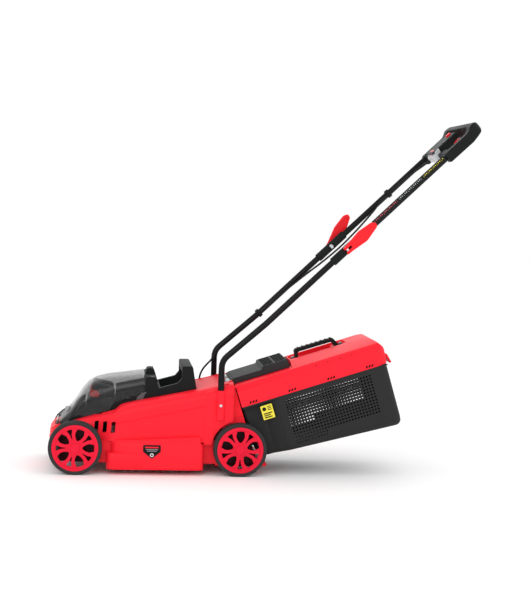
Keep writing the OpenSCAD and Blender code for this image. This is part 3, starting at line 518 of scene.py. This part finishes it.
def rear_cheeks():
    """Socket columns and stiffening ribs on the sides behind the deck's rail."""
    lines = [((444, 193), (484, 214)), ((444, 232), (476, 250)), ((440, 152), (498, 182)), ((448, 262), (466, 268))]
    for side, word in ((-1, "left"), (1, "right")):
        low, high = sorted((side * 147, side * 150.4))
        joined("cheek_ribs_" + word, [rib(a, b, 3.2, low, high) for a, b in lines], RED, "deck")
        rings = [[(431 + r * cos(pi * k / 8), side * 165 + r * sin(pi * k / 8), z) for k in range(16)]
                 for r, z in ((14.2, 168), (14.2, 254.5), (9.6, 256.4), (9.6, 250))]
        skin("socket_column_" + word, rings, RED, "deck", smooth=50)


# ---------- hood ----------
# Crown height, lower edge and half width of the hood along X.
HOOD_TOP = [(-52, 147), (-34, 164), (-16, 183), (4, 214), (19, 238), (35, 257), (58, 271), (91, 280), (161, 289),
            (205, 295)]
HOOD_EDGE = [(-52, 141.5), (-44, 142), (98, 184.5), (112, 206.5), (205, 240.4)]
HOOD_HALF = [(-52, 100), (-40, 108), (-16, 112), (205, 112)]


def hood_line(x, inset):
    """Squared arch of the hood at one station."""
    low, top, half = lookup(x, HOOD_EDGE), lookup(x, HOOD_TOP) - inset, lookup(x, HOOD_HALF) - inset
    row = []
    for k in range(37):
        a = pi * k / 36
        c, s = cos(a), sin(a)
        row.append((x, half * (1 if c > 0 else -1) * abs(c) ** 0.42, low + (top - low) * max(s, 0) ** 0.42))
    return row


def clear_hood():
    """Clear shell, its grip peg and its two hinge lugs."""
    stations = [-52, -49, -44, -38, -30, -22, -14, -6, 2, 9, 16, 23, 30, 38, 48, 60, 75, 91, 98, 101, 105, 109, 112,
                116, 130, 161, 190, 202, 205]
    rings = [hood_line(x, 0) + hood_line(x, 2.6)[::-1] for x in stations]
    piece = skin("hood_shell", rings, HOOD, "hood", smooth=50)
    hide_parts("battery_cover")
    peg = rounded([(-35, 158, 0), (-35, 181, 4), (-22, 181, 4), (-22, 172, 0)], 3)
    prism("hood_peg", peg, -8, 8, PALE_GREY, "hood", edge=0.8)
    for side, word in ((-1, "left"), (1, "right")):
        low, high = sorted((side * 62.4, side * 72.6))
        lug = rounded([(-57, 147, 2), (-61, 143, 2), (-59, 138.9, 2), (-45, 142.6, 0), (-41, 151, 0),
                       (-48, 151, 2)], 3)
        prism("hood_lug_" + word, lug, low, high, HOOD, "hood", edge=0.5)


# ---------- wheels ----------
def tyre(word, x, side):
    """Tyre with two grooves round the tread."""
    profile = [(69.1, -16), (72, -17.6), (76, -18.8), (78.4, -18), (79.8, -15.5), (80, -11), (80, -7), (78.6, -6.4),
               (78.6, -4.6), (80, -4), (80, 4), (78.6, 4.6), (78.6, 6.4), (80, 7), (80, 11), (79.8, 15.5),
               (78.4, 18), (76, 18.8), (72, 17.6), (69.1, 16)]
    name = "tyre_" + word
    place = WORLD @ Matrix.Translation((x, side * 175, WHEEL_R)) @ Matrix.Rotation(radians(-90 * side), 4, "X")
    piece = turned(name + "_tread", profile, TYRE, "wheel_" + word, place, smooth=30)
    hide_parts(name)


# ---------- grass catcher ----------
def basket_ring(t, inset, lift):
    """Rounded rectangle of the basket at the share t of its depth."""
    front, back = 0.5 + 6 * t + inset, 459 - 2.5 * t - inset
    half = 167 - 6.5 * t - inset
    nose, tail = max(2, 8 - inset), max(3, 24 - inset)
    slim, full = min(half, 144 - inset), min(half, 169)
    near = [(front, -slim, nose), (61, -slim, 8), (61 + 1.55 * (full - slim) + 18, -full, 10), (back, -half, tail)]
    plan = rounded(near + [(x, -y, r) for x, y, r in reversed(near)], 4)
    return [(u, y, t * (-165.5 - 29 * (u - 24) / 432) + lift) for u, y in plan]


def perforations():
    """Grid of square holes right through both side walls."""
    pitch, half = 9.5, 2.6
    parts = []
    for column in range(29):
        u = 131 + pitch * column
        rows = 15 if column < 11 else 13
        for row in range(rows):
            v = -20 - pitch * row - 0.012 * column
            parts.append(block((u - half, -190, v - half), (u + half, 190, v + half)))
    return parts


def basket():
    """Perforated basket with a rounded foot and an open mouth, and the rib under its rim."""
    wall, foot, levels = 3.0, 20, (0.86, 0.6, 0.3, 0.0)
    turns = [radians(90 - 18 * k) for k in range(5)]
    rings = [basket_ring(1, foot * (1 - cos(a)), foot * (1 - sin(a))) for a in turns]
    rings += [basket_ring(t, 0, 0) for t in levels]
    rings += [basket_ring(t, wall, 0) for t in reversed(levels)]
    rings += [basket_ring(1, wall + (foot - wall) * (1 - cos(a)), wall + (foot - wall) * (1 - sin(a)))
              for a in reversed(turns)]
    piece = skin("basket_shell", rings, BASKET, "catcher", SLOPE, smooth=40)
    mouth = block((-20, -136, -150), (26, 136, 20))
    carve(piece, perforations() + [mouth])
    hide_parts("catcher_basket")
    rim = [(0.5, -0.6), (0.5, -5.0), (459, -5.0), (459, -0.6)]
    for side, word in ((-1, "left"), (1, "right")):
        low, high = sorted((side * 166.4, side * 168.6))
        prism("basket_rib_" + word, rim, low, high, BASKET, "catcher", SLOPE, 0.6)


def catcher_label():
    """Plain yellow sticker with a dot and bars."""
    plate = rounded([(52, -56, 2), (88, -56, 2), (88, -13, 2), (52, -13, 2)], 3)
    prism("label_sheet", plate, -168.2, -166.2, YELLOW, "catcher", SLOPE, smooth=60)
    marks = [slab(circle(62, -24, 6, 20), -168.4, -168.0)]
    marks += [slab([(72, z), (84, z), (84, z + 2.4), (72, z + 2.4)], -168.4, -168.0) for z in (-20, -25, -30)]
    marks += [slab([(57, z), (57 + w, z), (57 + w, z + 3.4), (57, z + 3.4)], -168.4, -168.0)
              for z, w in ((-40, 26), (-46, 20), (-52, 24))]
    joined("label_marks", marks, BLACK, "catcher", SLOPE)


def flap_grip():
    """Two bands of raised diamonds on the flap's pad."""
    parts = []
    rows = 4
    for first, last in ((102, 134), (140, 172)):
        step = (last - first) / rows
        for row in range(rows):
            for column in range(21):
                u = first + step * (row + 0.5)
                y = -92 + 8.6 * (column + 0.5 * (row % 2)) + 3
                reach = step * 0.56
                base = [(u - reach, y, 92.8), (u, y - 4.4, 92.8), (u + reach, y, 92.8), (u, y + 4.4, 92.8)]
                top = [(u + (a - u) * 0.35, y + (b - y) * 0.35, 94.8) for a, b, c in base]
                faces = [(3, 2, 1, 0), (4, 5, 6, 7)]
                faces += [(i, (i + 1) % 4, 4 + (i + 1) % 4, 4 + i) for i in range(4)]
                parts.append((base + top, faces))
    joined("flap_diamonds", parts, BLACK, "flap", SLOPE, smooth=20)


# ---------- handle ----------
def on_handle(t, y, n):
    """Point of the handle's frame, in the shaping frame."""
    a = radians(HANDLE_ANGLE)
    return (FOLD[0] + t * cos(a) - n * sin(a), y, FOLD[2] + t * sin(a) + n * cos(a))


def switch_nose():
    """Pale end piece on the switch box with its red charge mark, and the finger ridges of the catcher's grip."""
    nose = rounded([(403, -9, 4), (401.5, 9, 6), (418, 22.6, 8), (431, 23, 0), (427, 4, 10), (414, -10, 2)], 4)
    prism("switch_nose", nose, -52.6, 52.6, PALE_GREY, "upper_handle", HANDLE, 1.2)
    mark = rounded([(408, 16.5, 1), (416, 24.2, 2), (424, 24.8, 2), (424, 22, 0), (412, 16, 0)], 3)
    prism("switch_mark", mark, -20, 20, ACCENT_RED, "upper_handle", HANDLE, 0.5)
    ridges = [slab([(u - 2.6, 103.4), (u + 2.6, 103.4), (u + 1.6, 106.2), (u - 1.6, 106.2)], -11, 11)
              for u in range(226, 334, 15)]
    joined("grip_ridges", ridges, BLACK, "catcher", SLOPE, smooth=20)


def wrap_ticks():
    """Row of plain tick marks printed along the wrap, in three colours."""
    bands = (("lower", 118, 212, PINK), ("middle", 218, 312, PALE_GREY), ("upper", 318, 398, YELLOW))
    for word, first, last, paint in bands:
        ticks = []
        for k, t in enumerate(range(first, last, 6)):
            spread = radians(19.04 if k % 3 else 29.12)
            first_angle = radians(58) + pi / 2 - 0.2
            points = [(u, -165 + r * cos(a), r * sin(a)) for u in (t, t + 2.6) for r in (9.0, 10.68)
                      for a in (first_angle, first_angle + spread)]
            ticks.append((points, BOX_FACES))
        joined("wrap_ticks_" + word, ticks, paint, "upper_handle", HANDLE)


# Middle of a battery's foot, with Y to its side, and the lean of the batteries.
BATTERY_FOOT = (58, 46, 158)
BATTERY_LEAN = 13


def battery_wings():
    """Red release latch that wraps round the top of each battery."""
    x, y, z = BATTERY_FOOT
    for side, word in ((-1, "left"), (1, "right")):
        place = WORLD @ Matrix.Translation((x, side * y, z)) @ Matrix.Rotation(radians(BATTERY_LEAN), 4, "Y")
        wing = rounded([(-34, 60, 2), (-34, 80, 3), (-12, 80, 4), (-4, 72, 3), (-8, 62, 4), (-20, 59, 2)], 3)
        body = "battery_release_" + word
        prism("release_wing_" + word, wing, -37.8, 37.8, ACCENT_RED, body, place, 0.8)
        mark = rounded([(24, 84, 1), (26, 93, 2), (36, 88, 2), (36, 82, 1)], 3)
        prism("charge_mark_" + word, mark, -30, 30, ACCENT_RED, "deck", place, 0.5)


def cover_details():
    """Ridges on the hood's latch, a pale patch of painted sheen low on each side of the black cover, and dark
    liners in the lid.
    """
    ridges = [slab([(x - 2, 303.2), (x - 1.2, 306.6), (x + 1.2, 306.6), (x + 2, 303.2)], -30, 30)
              for x in (218.5, 224, 229.5)]
    joined("latch_ridges", ridges, SLATE, "hood_latch", smooth=20)
    # Painted sheen: a flat pale grey patch on each side of the black cover, standing in for light reflected there.
    painted_sheen = rounded([(179, 216.8, 1), (183, 228, 10), (194, 238, 10), (212, 243, 1), (205, 235, 6),
                     (200, 221, 1)], 4)
    for side, word in ((-1, "left"), (1, "right")):
        low, high = sorted((side * 114.6, side * 116.4))
        prism("scoop_" + word, painted_sheen, low, high, DIM_GREY, "deck", edge=0.6, smooth=50)
        a, b = sorted((side * 161, side * 163.6))
        c, d = sorted((side * 143.5, side * 146))
        strips = [block((10, a, 0.6), (432, b, 14)), block((240, c, 49), (374, d, 60))]
        joined("lid_liner_" + word, strips, BLACK, "catcher", SLOPE)


def flap_barrel():
    """Pale front edge of the flap, rolled over its pin."""
    roll = [(-14 + 8.2 * cos(a), 72 + 9.5 * sin(a)) for a in [radians(20 + 20 * k) for k in range(10)]]
    for side, word in ((-1, "left"), (1, "right")):
        low, high = sorted((side * 26, side * 99.6))
        prism("flap_roll_" + word, roll, low, high, PALE_GREY, "flap", SLOPE, 0.8, smooth=50)


def cable():
    """One cable from the deck up the right tube and over to the switch box."""
    route = [(383, 128, 238), (383, 128, 258), (386, 130, 273), (394, 134, 289), (406, 140, 303), (420, 147, 317),
             (430, 151, 332), (440, 151.5, 352), (456, 151.5, 369), (490, 151.5, 399), on_handle(-316, 151.5, 0),
             on_handle(-200, 151, -4), on_handle(-120, 150.5, -10), on_handle(-58, 149, -16),
             on_handle(0, 147, -19), on_handle(45, 148, -19), on_handle(112, 150, -15), on_handle(175, 151, -8),
             on_handle(208, 151.5, -2), on_handle(250, 151.5, 0), on_handle(290, 148, 1), on_handle(335, 122, 1),
             on_handle(375, 82, 0), on_handle(398, 54, 0), on_handle(408, 46, 0)]
    piece = swept("cable", route, 3, SOFT_BLACK, None, steps=5)
    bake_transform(piece)
    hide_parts("lower_cable", "upper_cable")


def badge():
    """Plain five-sided badge with a bar, lines and a ring."""
    def plate(name, outline, y, paint):
        prism(name, outline, y, y + 1.0, paint, "deck", smooth=60)
    shield = rounded([(202, 92, 3), (202, 72, 3), (228, 51, 4), (254, 72, 3), (254, 92, 3)], 3)
    plate("badge_plate", shield, -187.6, BLACK)
    plate("badge_bar", [(208, 83), (248, 83), (248, 87), (208, 87)], -187.9, RED)
    plate("badge_line_a", [(210, 77.5), (246, 77.5), (246, 79.5), (210, 79.5)], -187.9, GREY)
    plate("badge_line_b", [(214, 73), (242, 73), (242, 74.8), (214, 74.8)], -187.9, GREY)
    plate("badge_ring", circle(228, 62, 5.5, 24), -187.9, WHITE)
    plate("badge_disc", circle(228, 62, 3, 24), -188.1, BLACK)


# Paint of each material slot, and of the CAD nodes that differ from their slot.
PAINTS = {
    "deck_red": RED, "rim_red": RIM_RED, "accent_red": ACCENT_RED, "tyre": TYRE, "black_plastic": BLACK,
    "dark_plastic": BASKET, "painted_tube": TUBE, "rubber_black": SOFT_BLACK, "smoked_clear": HOOD,
    "grey_plastic": GREY, "motor_metal": IRON, "steel": STEEL,
}

OWN_PAINTS = {"deck_housing": red_with_painted_well_shade(), "battery_left": SLATE, "battery_right": SLATE, "rear_flap": SLATE,
              "switch_panel": SLATE, "battery_button_left": DARK_RED, "battery_button_right": DARK_RED}


def dress_cad_nodes():
    """Every CAD node softened and painted; those replaced later are hidden by their looks."""
    for row in frame["record"]["subparts"]:
        soften(row["node"], OWN_PAINTS.get(row["node"]) or PAINTS[row["material_slot"]])


add_camera()
add_stage()
dress_cad_nodes()
deck_skin()
skirt_skins()
clear_hood()
for word, x, side in (("front_left", 0, -1), ("front_right", 0, 1), ("rear_left", WHEELBASE, -1),
                      ("rear_right", WHEELBASE, 1)):
    tyre(word, x, side)
basket()
catcher_label()
rear_cheeks()
flap_grip()
switch_nose()
wrap_ticks()
battery_wings()
cover_details()
flap_barrel()
cable()
badge()
